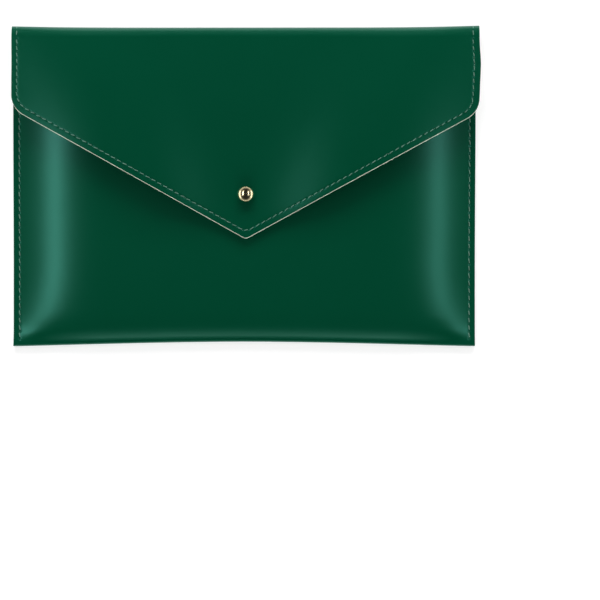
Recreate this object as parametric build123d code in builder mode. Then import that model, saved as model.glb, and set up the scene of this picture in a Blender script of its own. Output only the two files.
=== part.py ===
from build123d import *
import os
from math import sqrt, sin, cos, tan, asin, atan, atan2, exp, radians, pi

os.makedirs("parts", exist_ok=True)

# ---------------------------------------------------------------- dimensions
# An envelope folio for a folded score card, lying on its back.
# X is the width, +Y runs from the bottom fold to the top fold, +Z is up.

# one sheet of three glued layers, with a hair of glue between them
skin = 0.60              # coated outer leather
core = 0.30              # pale interlining
lining = 0.40            # soft lining
glue = 0.05
sheet = skin + glue + core + glue + lining     # 1.40

# body of the pocket
body_left = -120.75
body_right = 119.0
body_mid = (body_left + body_right) / 2
body_half = (body_right - body_left) / 2
bottom_corner = -83.15   # the bottom fold at its two corners
bottom_bow = 2.35        # it rises this much towards the middle
margin_gap = 0.05        # between the front and the back along the side seams
fold_gap = 0.60          # between them at the bottom fold
crown = 9.0              # how far the front stands up over the stored card
crown_edge = 116.75      # the crown starts here, inside the side seams
crown_run = 46.0         # and is full this much further in
crown_power = 2.2
bottom_run = 47.0        # the crown rises over this length from the bottom
bottom_roll = 3.6        # most of it right at the bottom fold

# mouth of the pocket
mouth_side = 72.8        # edge of the front close to the side seams
mouth_mid = 63.8         # edge of the front along the middle
mouth_out = 103.0        # the S-curve between them
mouth_in = 74.0

# flap
flap_left, flap_right = -121.45, 121.9       # at its widest
fold_left, fold_right = -121.65, 121.3       # at the top fold
left_corner_y = 40.1     # where the sides would meet the slanted edges
right_corner_y = 38.65
right_draw = 1.15        # the right side is this much further in at its corner
flap_tip_y = -27.65
left_corner_r, right_corner_r = 12.0, 12.0
flap_tip_r = 3.2
flap_under_mid = 12.65   # underside in the middle, over the full crown
flap_under_side = 10.9   # underside at the two side edges
flap_fold_mid = 7.4      # the same two at the top fold
flap_fold_side = 6.4
flap_run = 90.0
flap_fold_run = 24.0
rise_power = 1.9
flap_split = 77.2        # the flap, the fold and the back meet here
shoulder_y = 35.0        # the flap rises from the fold to the full crown over this length
mouth_drop = 0.57        # share of the crown that the front loses over the same length
gape_height = 6.4        # the slanted edges stand off the pocket beside the stud
gape_run = 70.0
tip_lift = 0.9           # and the tip a little below it

# top fold
top_mid = 82.50          # outermost line of the fold in the middle
top_rise = 0.8           # its two ends stand this much further out
top_tilt = 0.08
split_gap = 0.10         # on each side of the line where the fold meets the flap and the back

# button stud
stud_y = -4.3
collar_r, collar_t = 4.75, 0.50
neck_r = 2.0
ball_r = 4.15            # a flattened ball: a low cap over a rounded edge
ball_z = 16.35
cap_r, edge_r = 5.02, 2.00
bore_r, bore_depth = 1.50, 5.0
screw_head_r, screw_head_t = 4.50, 1.00
shank_r = 1.45
stud_hole_r = 1.70
slot_w, slot_d = 0.90, 0.50

# buttonhole: a round hole drawn out to a point towards the top fold
hole_r = 3.30
hole_point = 4.10

# stitching
seam_left, seam_right = 3.15, 3.05           # side seams, from the body's sides
flap_seam_left, flap_seam_slant, flap_seam_right = 2.85, 3.45, 3.50
mouth_seam_in = 3.0
thread_w = 0.55
thread_t = 0.30
thread_lift = 0.12
groove_w, groove_d = 1.10, 0.46


# ---------------------------------------------------------------- surfaces
def ramp(u, soft):
    """Zero below 0, u above it, with a rounded start."""
    return (u + sqrt(u * u + soft * soft)) / 2


def across(x):
    """Height of the crown across the width, 0 to 1."""
    u = ramp((crown_edge - abs(x - body_mid)) / crown_run, 0.005)
    return 1 - max(0.0, 1 - u) ** crown_power


def bottom_y(x):
    """Outermost line of the bottom fold."""
    s = min(1.0, abs(x - body_mid) / body_half)
    return bottom_corner + bottom_bow * (1 - s ** 1.7) ** 1.25


def tangent_y(x):
    """Where the bottom fold ends and the front begins."""
    return bottom_y(x) + sheet + fold_gap / 2


def smooth(s):
    s = min(1.0, max(0.0, s))
    return s * s * (3 - 2 * s)


def shoulder(y):
    """0 at the top fold, rising to 1 where the crown is full."""
    return smooth((flap_split - y) / (flap_split - shoulder_y))


def along(x, y):
    """Height of the crown along the length, 0 at the bottom fold to 1: steep at first, then slow."""
    d = max(0.0, y - tangent_y(x))
    e = ramp(d - 0.6, 0.5) - ramp(-0.6, 0.5)
    b = 1 - 0.6 * exp(-e / bottom_roll) - 0.4 * max(0.0, 1 - d / bottom_run) ** crown_power
    return b * (1 - mouth_drop * (1 - shoulder(y)))


def front_z(x, y):
    """Innermost surface of the front."""
    closing = 1 - smooth((y - tangent_y(x)) / 9.0)
    return sheet + margin_gap + (fold_gap - margin_gap) * closing + crown * across(x) * along(x, y)


lean_left = atan2(left_corner_y - flap_tip_y, -flap_left)
lean_right = atan2(right_corner_y - flap_tip_y, flap_right)


def gape(x, y):
    """The slanted edges stand off the pocket on both sides of the stud, and the tip a little."""
    ax = abs(x)
    lean = lean_left if x < 0 else lean_right
    off = (y - flap_tip_y - tan(lean) * ax) * cos(lean)
    side = smooth((ax - 2.0) / 52.0) * (1 - 0.62 * smooth((ax - 72.0) / 50.0))
    tip = tip_lift * smooth((stud_y - 5.0 - y) / 15.0) * (1 - smooth(ax / 24.0))
    return gape_height * side * smooth(1 - off / gape_run) + tip


def flap_z(x, y):
    """Underside of the flap."""
    ax = abs(x)
    w = min(1.0, max(0.0, (122.0 - ax) / flap_run))
    v = min(1.0, max(0.0, (122.0 - ax) / flap_fold_run))
    at_crown = flap_under_side + (flap_under_mid - flap_under_side) * (1 - (1 - w) ** 3)
    at_fold = flap_fold_side + (flap_fold_mid - flap_fold_side) * (1 - (1 - v) ** 2)
    rise = 1 - (1 - min(1.0, max(0.0, (flap_split - y) / (flap_split - shoulder_y)))) ** rise_power
    return at_fold + (at_crown - at_fold) * rise + gape(x, y)


def top_y(x):
    """Outermost line of the top fold."""
    u = x / 121.6
    return top_mid + top_tilt * u + top_rise * abs(u) ** 5 * (1 + (0.15 if u > 0 else -0.15))


def fold_points(x):
    """The outermost line of the top fold, from the back to the flap: points and inward directions.
    It is a quarter ellipse at the back and a longer one in front, and ends in the slope of the flap."""
    y0 = flap_split + split_gap
    slope = (flap_z(x, flap_split - 0.4) - flap_z(x, flap_split)) / 0.4
    z_end = flap_z(x, flap_split) + sheet - split_gap * slope
    k = 1.32 + 0.6 * smooth((abs(x) - 95.0) / 26.0)
    eps = atan(k * slope)
    reach = top_y(x) - y0
    ay = reach / (1 - sin(eps))
    az = ay / k
    zc = z_end - az * cos(eps)
    yc = top_y(x) - ay
    n = 18
    out = []
    for i in range(n + 1):
        t = (pi - eps) * i / n
        if t < pi / 2:
            p = (y0 + reach * sin(t), zc - zc * cos(t))
            d = (reach * cos(t), zc * sin(t))
        else:
            p = (yc + ay * sin(t), zc - az * cos(t))
            d = (ay * cos(t), az * sin(t))
        m = sqrt(d[0] ** 2 + d[1] ** 2)
        inward = [-d[1] / m, d[0] / m]
        up = smooth((i - n + 3) / 3)
        inward = [inward[0] * (1 - up), inward[1] * (1 - up) - up]
        out.append((p, inward))
    out[0] = (out[0][0], [0.0, 1.0])
    return out


# stations across the width
case_stations = [-body_half, -118.2, -116.75, -115.6, -114, -110.5, -105, -98, -90, -81, -70, -40,
                 0, 40, 70, 81, 90, 98, 105, 110.5, 114, 115.6, 116.75, 118.2, body_half]
case_stations = [body_mid + s for s in case_stations]
fold_stations = [fold_left, -119, -115, -110, -104, -98, -86, -74, -62, -30,
                 0, 30, 62, 74, 86, 98, 104, 110, 115, 119, fold_right]
flap_stations = [2, 8, 15, 25, 35, 45, 60, 72, 85, 97, 106, 114, 122, 124.5]
flap_stations = [-s for s in flap_stations[::-1]] + [0] + flap_stations


def case_profile(x, inset, t):
    """One layer of the case, seen from the side: back, bottom fold and front.
    inset is its distance from the outermost surface and t its thickness."""
    r = sheet + fold_gap / 2
    yc, zc = tangent_y(x), r
    ro, ri = r - inset, r - inset - t
    ys = [yc + d for d in (0, 0.7, 1.5, 2.5, 3.6, 5, 6.8, 9, 12, 16, 22, 30, 41, 54)]
    ys2 = [shoulder_y, 40, 46, 53, 60, 67, 73.5]

    def at(y, height):
        """The point this far out from the innermost surface, square to it."""
        slope = (front_z(x, y + 0.05) - front_z(x, y - 0.05)) / 0.1
        slope *= smooth((y - yc) / 2.5) if y < shoulder_y - 1 else 0.0
        m = sqrt(1 + slope * slope)
        return (y - height * slope / m, front_z(x, y) + height / m)

    top = sheet - inset
    front_out = [at(y, top) for y in ys]
    front_in = [at(y, top - t) for y in ys]
    mouth_out_pts = [at(y, top) for y in ys2]
    mouth_in_pts = [at(y, top - t) for y in ys2]
    drop = 0.03 if inset == 0 else 0.0
    Line((flap_split - split_gap, zc - ro - drop), (yc, zc - ro - drop))
    ThreePointArc((yc, zc - ro - drop), (yc - ro, zc), (yc, zc + ro))
    Spline(*front_out)
    Line(front_out[-1], mouth_out_pts[0])
    Spline(*mouth_out_pts)
    Line(mouth_out_pts[-1], mouth_in_pts[-1])
    Spline(*mouth_in_pts[::-1])
    Line(mouth_in_pts[0], front_in[-1])
    Spline(*front_in[::-1])
    ThreePointArc((yc, zc + ri), (yc - ri, zc), (yc, zc - ri))
    Line((yc, zc - ri), (flap_split - split_gap, zc - ri))
    Line((flap_split - split_gap, zc - ri), (flap_split - split_gap, zc - ro - drop))


def fold_profile(x, inset, t):
    """One layer of the top fold, seen from the side."""
    pts = fold_points(x)
    outer = [(p[0] + d[0] * inset, p[1] + d[1] * inset) for p, d in pts]
    inner = [(p[0] + d[0] * (inset + t), p[1] + d[1] * (inset + t)) for p, d in pts]
    Spline(*outer)
    Line(outer[-1], inner[-1])
    Spline(*inner[::-1])
    Line(inner[0], outer[0])


def mouth_outline(shift=0.0):
    """Edge of the front at the mouth, from left to right."""
    a, b = mouth_side - shift, mouth_mid - shift
    l1 = Line((-126, a), (-mouth_out - shift * 0.3, a))
    l2 = Spline((-mouth_out - shift * 0.3, a), (-mouth_in - shift * 0.3, b), tangents=[(1, 0), (1, 0)])
    l3 = Line((-mouth_in - shift * 0.3, b), (mouth_in + shift * 0.3, b))
    l4 = Spline((mouth_in + shift * 0.3, b), (mouth_out + shift * 0.3, a), tangents=[(1, 0), (1, 0)])
    l5 = Line((mouth_out + shift * 0.3, a), (126, a))
    return l1, l2, l3, l4, l5


def flap_outline(left=0.0, slant=0.0, right=0.0):
    """Closed outline of the flap, with its left side, its slanted edges and its right side moved inwards."""
    span = sin(lean_left + lean_right)
    tip = (slant * (cos(lean_right) - cos(lean_left)) / span,
           flap_tip_y + slant * (sin(lean_left) + sin(lean_right)) / span)
    xl, xr = flap_left + left, flap_right - right
    corner_l = (xl, flap_tip_y + slant / cos(lean_left) - tan(lean_left) * xl)
    corner_r = (xr - right_draw, flap_tip_y + slant / cos(lean_right) + tan(lean_right) * (xr - right_draw))
    top = flap_split - split_gap
    pts = [(fold_left + left, top), (xl, top - 14), corner_l, tip, corner_r, (xr, top - 14), (fold_right - right, top)]
    FilletPolyline(*pts, radius=[40.0, left_corner_r - slant, flap_tip_r - slant * 0.2, right_corner_r - slant, 40.0])
    Line(pts[-1], pts[0])


def flap_profile(x, inset, t):
    """One layer of the flap, seen from the side: up from the fold, over the crown and out to the slanted edge."""
    top = sheet - inset
    ys = [flap_split - split_gap, 74, 70, 65, 60, 54, 48, 42, 35, 28, 21, 14, 7, 0, -7, -14, -21, -28, -33]
    upper = [(y, flap_z(x, y) + top) for y in ys]
    lower = [(y, flap_z(x, y) + top - t) for y in ys]
    Spline(*upper)
    Line(upper[-1], lower[-1])
    Spline(*lower[::-1])
    Line(lower[0], upper[0])


def teardrop():
    """Outline of the buttonhole."""
    a = asin(hole_r / hole_point)
    left = (-hole_r * cos(a), stud_y + hole_r * sin(a))
    right = (hole_r * cos(a), stud_y + hole_r * sin(a))
    ThreePointArc(left, (0, stud_y - hole_r), right)
    Line(right, (0, stud_y + hole_point))
    Line((0, stud_y + hole_point), left)


def mouth_cut_region():
    mouth_outline()
    Line((126, mouth_side), (126, 90))
    Line((126, 90), (-126, 90))
    Line((-126, 90), (-126, mouth_side))


# ---------------------------------------------------------------- case
# outer leather: back, bottom fold and front of the pocket in one piece
with BuildPart() as case_leather:
    for x in case_stations:
        with BuildSketch(Plane.YZ.offset(x)):
            with BuildLine():
                case_profile(x, 0.0, skin)
            make_face()
    loft(ruled=True)
    # the back lies flat
    with BuildSketch(Plane.XY):
        Rectangle(300, 240)
    extrude(amount=-2, mode=Mode.SUBTRACT)
    # mouth of the pocket, cut through the front only
    with BuildSketch(Plane.XY.offset(1.2)):
        with BuildLine():
            mouth_cut_region()
        make_face()
    extrude(amount=20, mode=Mode.SUBTRACT)
    # hole for the stud's screw
    with BuildSketch(Plane.XY.offset(4)):
        with Locations((0, stud_y)):
            Circle(stud_hole_r)
    extrude(amount=12, mode=Mode.SUBTRACT)
    # grooves that sink the side seams' lower thread into the back
    with BuildSketch(Plane.XY):
        for gx in (body_left + seam_left, body_right - seam_right):
            with Locations((gx, 0)):
                Rectangle(groove_w, 148)
    extrude(amount=groove_d, mode=Mode.SUBTRACT)
case_leather.part.label = "case_leather"
export_step(case_leather.part, "parts/case_leather.step")

# pale interlining between the outer leather and the lining
with BuildPart() as case_interlining:
    for x in case_stations:
        with BuildSketch(Plane.YZ.offset(x)):
            with BuildLine():
                case_profile(x, skin + glue, core)
            make_face()
    loft(ruled=True)
    with BuildSketch(Plane.XY.offset(1.2)):
        with BuildLine():
            mouth_cut_region()
        make_face()
    extrude(amount=20, mode=Mode.SUBTRACT)
    with BuildSketch(Plane.XY.offset(4)):
        with Locations((0, stud_y)):
            Circle(stud_hole_r)
    extrude(amount=12, mode=Mode.SUBTRACT)
case_interlining.part.label = "case_interlining"
export_step(case_interlining.part, "parts/case_interlining.step")

# lining of the pocket
with BuildPart() as case_lining:
    for x in case_stations:
        with BuildSketch(Plane.YZ.offset(x)):
            with BuildLine():
                case_profile(x, skin + core + 2 * glue, lining)
            make_face()
    loft(ruled=True)
    with BuildSketch(Plane.XY.offset(sheet + margin_gap / 2)):
        with BuildLine():
            mouth_cut_region()
        make_face()
    extrude(amount=20, mode=Mode.SUBTRACT)
    with BuildSketch(Plane.XY.offset(4)):
        with Locations((0, stud_y)):
            Circle(stud_hole_r)
    extrude(amount=12, mode=Mode.SUBTRACT)
case_lining.part.label = "case_lining"
export_step(case_lining.part, "parts/case_lining.step")

# ---------------------------------------------------------------- top fold
# the sheet bends here each time the flap is opened
with BuildPart() as fold_leather:
    for x in fold_stations:
        with BuildSketch(Plane.YZ.offset(x)):
            with BuildLine():
                fold_profile(x, 0.0, skin)
            make_face()
    loft(ruled=True)
fold_leather.part.label = "fold_leather"
export_step(fold_leather.part, "parts/fold_leather.step")

with BuildPart() as fold_interlining:
    for x in fold_stations:
        with BuildSketch(Plane.YZ.offset(x)):
            with BuildLine():
                fold_profile(x, skin + glue, core)
            make_face()
    loft(ruled=True)
fold_interlining.part.label = "fold_interlining"
export_step(fold_interlining.part, "parts/fold_interlining.step")

with BuildPart() as fold_lining:
    for x in fold_stations:
        with BuildSketch(Plane.YZ.offset(x)):
            with BuildLine():
                fold_profile(x, skin + core + 2 * glue, lining)
            make_face()
    loft(ruled=True)
fold_lining.part.label = "fold_lining"
export_step(fold_lining.part, "parts/fold_lining.step")

# ---------------------------------------------------------------- flap
with BuildPart() as flap_leather:
    for x in flap_stations:
        with BuildSketch(Plane.YZ.offset(x)):
            with BuildLine():
                flap_profile(x, 0.0, skin)
            make_face()
    loft(ruled=True)
    with BuildSketch(Plane.XY):
        with BuildLine():
            flap_outline()
        make_face()
    extrude(amount=20, mode=Mode.INTERSECT)
    with BuildSketch(Plane.XY):
        with BuildLine():
            teardrop()
        make_face()
    extrude(amount=20, mode=Mode.SUBTRACT)
flap_leather.part.label = "flap_leather"
export_step(flap_leather.part, "parts/flap_leather.step")

with BuildPart() as flap_interlining:
    for x in flap_stations:
        with BuildSketch(Plane.YZ.offset(x)):
            with BuildLine():
                flap_profile(x, skin + glue, core)
            make_face()
    loft(ruled=True)
    with BuildSketch(Plane.XY):
        with BuildLine():
            flap_outline()
        make_face()
    extrude(amount=20, mode=Mode.INTERSECT)
    with BuildSketch(Plane.XY):
        with BuildLine():
            teardrop()
        make_face()
    extrude(amount=20, mode=Mode.SUBTRACT)
flap_interlining.part.label = "flap_interlining"
export_step(flap_interlining.part, "parts/flap_interlining.step")

with BuildPart() as flap_lining:
    for x in flap_stations:
        with BuildSketch(Plane.YZ.offset(x)):
            with BuildLine():
                flap_profile(x, skin + core + 2 * glue, lining)
            make_face()
    loft(ruled=True)
    with BuildSketch(Plane.XY):
        with BuildLine():
            flap_outline()
        make_face()
    extrude(amount=20, mode=Mode.INTERSECT)
    with BuildSketch(Plane.XY):
        with BuildLine():
            teardrop()
        make_face()
    extrude(amount=20, mode=Mode.SUBTRACT)
flap_lining.part.label = "flap_lining"
export_step(flap_lining.part, "parts/flap_lining.step")

# ---------------------------------------------------------------- stitching
# seam along the flap's sides and slanted edges, on its outer face
with BuildPart() as flap_stitching:
    for x in flap_stations:
        with BuildSketch(Plane.YZ.offset(x)):
            with BuildLine():
                flap_profile(x, -thread_lift - thread_t, thread_t)
            make_face()
    loft(ruled=True)
    with BuildSketch(Plane.XY):
        with BuildLine():
            flap_outline(*(d - thread_w / 2 for d in (flap_seam_left, flap_seam_slant, flap_seam_right)))
        make_face()
        with BuildLine():
            flap_outline(*(d + thread_w / 2 for d in (flap_seam_left, flap_seam_slant, flap_seam_right)))
        make_face(mode=Mode.SUBTRACT)
    extrude(amount=24, mode=Mode.INTERSECT)
flap_stitching.part.label = "flap_stitching"
export_step(flap_stitching.part, "parts/flap_stitching.step")


def side_thread(x, lift):
    """Thread on the front along a side seam, seen from the side."""
    ys = [tangent_y(x) + d for d in (3.0, 4.2, 5.6, 7.5, 10.5, 15, 22, 32, 46)]
    ys += [shoulder_y, 50, 62, mouth_side - 1.5]
    low = [(y, front_z(x, y) + sheet + lift) for y in ys]
    high = [(y, z + thread_t) for y, z in low]
    Spline(*low)
    Line(low[-1], high[-1])
    Spline(*high[::-1])
    Line(high[0], low[0])


# both threads of the left side seam: one on the front, one sunk in the back
with BuildPart() as side_stitching_left:
    sx = body_left + seam_left
    for x in (sx - thread_w / 2, sx + thread_w / 2):
        with BuildSketch(Plane.YZ.offset(x)):
            with BuildLine():
                side_thread(x, thread_lift)
            make_face()
    loft(ruled=True)
    with BuildSketch(Plane.XY.offset(0.05)):
        with Locations((sx, 0)):
            Rectangle(thread_w, 146)
    extrude(amount=thread_t)
side_stitching_left.part.label = "side_stitching_left"
export_step(side_stitching_left.part, "parts/side_stitching_left.step")

# the same on the right
with BuildPart() as side_stitching_right:
    sx = body_right - seam_right
    for x in (sx - thread_w / 2, sx + thread_w / 2):
        with BuildSketch(Plane.YZ.offset(x)):
            with BuildLine():
                side_thread(x, thread_lift)
            make_face()
    loft(ruled=True)
    with BuildSketch(Plane.XY.offset(0.05)):
        with Locations((sx, 0)):
            Rectangle(thread_w, 146)
    extrude(amount=thread_t)
side_stitching_right.part.label = "side_stitching_right"
export_step(side_stitching_right.part, "parts/side_stitching_right.step")


def mouth_profile(x):
    """Strip just above the front's outer face close to the mouth, seen from the side."""
    ys = [56, 60, 64, 68, 72]
    low = [(y, front_z(x, y) + sheet + thread_lift + 0.03) for y in ys]
    high = [(y, z + thread_t) for y, z in low]
    Spline(*high)
    Line(high[-1], low[-1])
    Spline(*low[::-1])
    Line(low[0], high[0])


# seam along the mouth of the pocket
with BuildPart() as mouth_stitching:
    for x in case_stations[3:-3]:
        with BuildSketch(Plane.YZ.offset(x)):
            with BuildLine():
                mouth_profile(x)
            make_face()
    loft(ruled=True)
    with BuildSketch(Plane.XY):
        with BuildLine():
            mouth_outline(mouth_seam_in - thread_w / 2)
            Line((126, mouth_side - mouth_seam_in + thread_w / 2), (126, 40))
            Line((126, 40), (-126, 40))
            Line((-126, 40), (-126, mouth_side - mouth_seam_in + thread_w / 2))
        make_face()
        with BuildLine():
            mouth_outline(mouth_seam_in + thread_w / 2)
            Line((126, mouth_side - mouth_seam_in - thread_w / 2), (126, 39))
            Line((126, 39), (-126, 39))
            Line((-126, 39), (-126, mouth_side - mouth_seam_in - thread_w / 2))
        make_face(mode=Mode.SUBTRACT)
    extrude(amount=24, mode=Mode.INTERSECT)
mouth_stitching.part.label = "mouth_stitching"
export_step(mouth_stitching.part, "parts/mouth_stitching.step")

# ---------------------------------------------------------------- stud
seat_z = front_z(0, stud_y) + sheet + 0.02
with BuildPart() as stud_head:
    with BuildSketch(Plane.XZ.offset(-stud_y)):
        with BuildLine():
            z0, z1 = seat_z, seat_z + collar_t
            edge_x = ball_r - edge_r
            turn = asin(edge_x / (cap_r - edge_r))
            meet = (cap_r * sin(turn), ball_z + edge_r * cos(turn))
            top = ball_z + edge_r * cos(turn) + cap_r * (1 - cos(turn))
            Line((0, z0), (collar_r - 0.15, z0))
            Line((collar_r - 0.15, z0), (collar_r, z0 + 0.2))
            Line((collar_r, z0 + 0.2), (neck_r + 0.5, z1))
            Line((neck_r + 0.5, z1), (neck_r, z1 + 0.4))
            Line((neck_r, z1 + 0.4), (neck_r, ball_z - edge_r))
            Line((neck_r, ball_z - edge_r), (edge_x, ball_z - edge_r))
            ThreePointArc((edge_x, ball_z - edge_r), (ball_r, ball_z), meet)
            ThreePointArc(meet, (cap_r * sin(turn / 2), top - cap_r * (1 - cos(turn / 2))), (0, top))
            Line((0, top), (0, z0))
        make_face()
    revolve(axis=Axis((0, stud_y, 0), (0, 0, 1)))
    with BuildSketch(Plane.XY.offset(seat_z)):
        with Locations((0, stud_y)):
            Circle(bore_r)
    extrude(amount=bore_depth, mode=Mode.SUBTRACT)
stud_head.part.label = "stud_head"
export_step(stud_head.part, "parts/stud_head.step")

under_z = front_z(0, stud_y) - 0.03
with BuildPart() as stud_screw:
    with BuildSketch(Plane.XY.offset(under_z)):
        with Locations((0, stud_y)):
            Circle(screw_head_r)
    extrude(amount=-screw_head_t)
    chamfer(stud_screw.edges().filter_by(GeomType.CIRCLE).group_by(Axis.Z)[0], length=0.25)
    with BuildSketch(Plane.XY.offset(under_z)):
        with Locations((0, stud_y)):
            Circle(shank_r)
    extrude(amount=seat_z + bore_depth - 0.5 - under_z)
    with BuildSketch(Plane.XY.offset(under_z - screw_head_t)):
        with Locations((0, stud_y)):
            Rectangle(2 * screw_head_r + 2, slot_w)
    extrude(amount=slot_d, mode=Mode.SUBTRACT)
stud_screw.part.label = "stud_screw"
export_step(stud_screw.part, "parts/stud_screw.step")
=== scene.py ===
import bpy
import math
import numpy as np
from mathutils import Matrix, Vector
from mathutils.geometry import delaunay_2d_cdt


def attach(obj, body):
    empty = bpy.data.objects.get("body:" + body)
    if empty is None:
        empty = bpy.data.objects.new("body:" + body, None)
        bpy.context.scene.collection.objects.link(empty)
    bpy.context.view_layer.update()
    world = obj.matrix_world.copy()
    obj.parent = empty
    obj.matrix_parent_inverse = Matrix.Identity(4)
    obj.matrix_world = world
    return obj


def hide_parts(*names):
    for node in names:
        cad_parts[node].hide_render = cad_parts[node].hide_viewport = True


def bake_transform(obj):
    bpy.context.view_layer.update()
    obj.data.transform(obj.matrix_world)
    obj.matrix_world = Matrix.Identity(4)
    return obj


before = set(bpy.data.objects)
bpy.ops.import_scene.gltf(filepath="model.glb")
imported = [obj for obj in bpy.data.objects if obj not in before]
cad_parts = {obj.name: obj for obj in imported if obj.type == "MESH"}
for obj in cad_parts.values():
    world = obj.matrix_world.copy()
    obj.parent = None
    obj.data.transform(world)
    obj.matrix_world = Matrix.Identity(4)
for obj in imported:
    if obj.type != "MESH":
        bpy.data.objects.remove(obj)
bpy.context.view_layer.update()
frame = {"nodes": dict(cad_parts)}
scene = bpy.context.scene
scene.view_settings.view_transform = "Standard"
scene.view_settings.look = "None"
scene.view_settings.exposure = 0.0
scene.view_settings.gamma = 1.0
rng = np.random.default_rng(7)
MM = 0.001

# ================================================================ dimensions (mm)
SKIN, CORE, LINING = 0.60, 0.38, 0.42
SHEET = 1.40
BODY_L, BODY_R = -120.75, 119.0
MID, HALF = (BODY_L + BODY_R) / 2, (BODY_R - BODY_L) / 2
BOTTOM, BOW = -83.15, 2.35
MARGIN_GAP, FOLD_GAP = 0.05, 0.60
CROWN, CROWN_EDGE, CROWN_RUN, CROWN_P = 9.0, 116.75, 46.0, 2.2
BOTTOM_RUN = 47.0
MOUTH_SIDE, MOUTH_MID, MOUTH_OUT, MOUTH_IN = 72.8, 63.8, 103.0, 74.0
FLAP_HALF, FOLD_HALF = (121.45, 121.9), (121.65, 121.3)      # left, right
CORNER_Y, CORNER_R = (40.1, 38.65), (12.0, 12.0)
DRAW, DRAW_Y = (0.0, 1.15), 63.1        # the right side is drawn in towards its corner
TIP_Y, TIP_R = -27.65, 3.2
UNDER_MID, UNDER_SIDE, UNDER_FOLD_MID, UNDER_FOLD_SIDE = 12.65, 10.9, 7.4, 6.4
FLAP_RUN, FOLD_RUN = 90.0, 24.0
RISE_P = 1.9
GAPE, GAPE_RUN, TIP_LIFT = 6.4, 70.0, 0.9
SPLIT, SHOULDER = 77.2, 35.0
MOUTH_DROP = 0.57
TOP_MID, TOP_RISE, TOP_TILT = 82.50, 0.8, 0.08
STUD_Y = -4.3
SEAM_IN, MOUTH_SEAM_IN = (3.15, 3.05), 3.0
FLAP_SEAM_IN, FLAP_SEAM_SIDE, FLAP_SEAM_SLANT = 2.95, (2.85, 3.50), 3.45
SIDE_PITCH, FLAP_PITCH = 3.85, 3.4


# ================================================================ surfaces
def smooth(s):
    s = np.clip(s, 0.0, 1.0)
    return s * s * (3 - 2 * s)


def ramp(u, soft):
    return (u + np.sqrt(u * u + soft * soft)) / 2


def across(x):
    u = ramp((CROWN_EDGE - np.abs(x - MID)) / CROWN_RUN, 0.005)
    return 1 - np.maximum(0.0, 1 - u) ** CROWN_P


def bottom_y(x):
    s = np.minimum(1.0, np.abs(x - MID) / HALF)
    return BOTTOM + BOW * (1 - s ** 1.7) ** 1.25


def tangent_y(x):
    return bottom_y(x) + SHEET + FOLD_GAP / 2


def shoulder(y):
    return smooth((SPLIT - y) / (SPLIT - SHOULDER))


def along(x, y):
    d = np.maximum(0.0, y - tangent_y(x))
    e = ramp(d - 0.6, 0.5) - ramp(-0.6, 0.5)
    b = 1 - 0.6 * np.exp(-e / 3.6) - 0.4 * np.maximum(0.0, 1 - d / BOTTOM_RUN) ** CROWN_P
    return b * (1 - MOUTH_DROP * (1 - shoulder(y)))


def ripple(x, y):
    """Slow unevenness of the hand, a few hundredths of a millimetre to a tenth."""
    return (0.07 * np.sin(x * 0.051 + 0.7) * np.sin(y * 0.043 + 1.9)
            + 0.05 * np.sin(x * 0.023 - y * 0.067 + 0.4)
            + 0.03 * np.sin(x * 0.093 + y * 0.051 + 2.2))


def front_z(x, y):
    closing = 1 - smooth((y - tangent_y(x)) / 9.0)
    a = across(x) * along(x, y)
    return SHEET + MARGIN_GAP + (FOLD_GAP - MARGIN_GAP) * closing + CROWN * a + ripple(x, y) * a


BETA = tuple(math.atan2(c - TIP_Y, h) for c, h in zip(CORNER_Y, FLAP_HALF))


def gape(x, y):
    """The slanted edges stand off the pocket on both sides of the stud, and the tip a little."""
    ax = np.abs(x)
    beta = np.where(np.asarray(x) < 0, BETA[0], BETA[1])
    off = (y - TIP_Y - np.tan(beta) * ax) * np.cos(beta)
    side = smooth((ax - 2.0) / 52.0) * (1 - 0.62 * smooth((ax - 72.0) / 50.0))
    tip = TIP_LIFT * smooth((STUD_Y - 5.0 - y) / 15.0) * (1 - smooth(ax / 24.0))
    return GAPE * side * smooth(1 - off / GAPE_RUN) + tip


def flap_z(x, y):
    ax = np.abs(x)
    w = np.clip((122.0 - ax) / FLAP_RUN, 0.0, 1.0)
    v = np.clip((122.0 - ax) / FOLD_RUN, 0.0, 1.0)
    at_crown = UNDER_SIDE + (UNDER_MID - UNDER_SIDE) * (1 - (1 - w) ** 3)
    at_fold = UNDER_FOLD_SIDE + (UNDER_FOLD_MID - UNDER_FOLD_SIDE) * (1 - (1 - v) ** 2)
    rise = 1 - (1 - np.clip((SPLIT - y) / (SPLIT - SHOULDER), 0.0, 1.0)) ** RISE_P
    return at_fold + (at_crown - at_fold) * rise + gape(x, y) + 0.6 * ripple(x + 40, y - 30) * rise


def top_y(x):
    u = x / 121.6
    return TOP_MID + TOP_TILT * u + TOP_RISE * np.abs(u) ** 5 * (1 + 0.15 * np.sign(u))


def mouth_y(x):
    s = smooth((np.abs(x) - MOUTH_IN) / (MOUTH_OUT - MOUTH_IN))
    return MOUTH_MID + (MOUTH_SIDE - MOUTH_MID) * s


def widen(x0, y):
    """The sheet grows a little wider towards the top fold, and its bottom corners flare."""
    u = (x0 - MID) / HALF
    m = smooth((y + 45.0) / 85.0)
    k = smooth((y - 42.0) / (SPLIT - 42.0))
    flare = np.where(u > 0, 0.05, 0.30) * np.exp(-np.maximum(0.0, y - BOTTOM) / 3.0)
    grown = x0 + u * flare + np.where(u > 0, 0.40, 0.28) * u * m * (1 - k)
    return grown * (1 - k) + u * np.where(u > 0, FOLD_HALF[1], FOLD_HALF[0]) * k


def rounding(d, r):
    """How far the face falls away this close to a cut edge."""
    t = np.clip(1 - d / r, 0.0, 1.0)
    return r * (1 - np.sqrt(np.maximum(0.0, 1 - t * t)))


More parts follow.
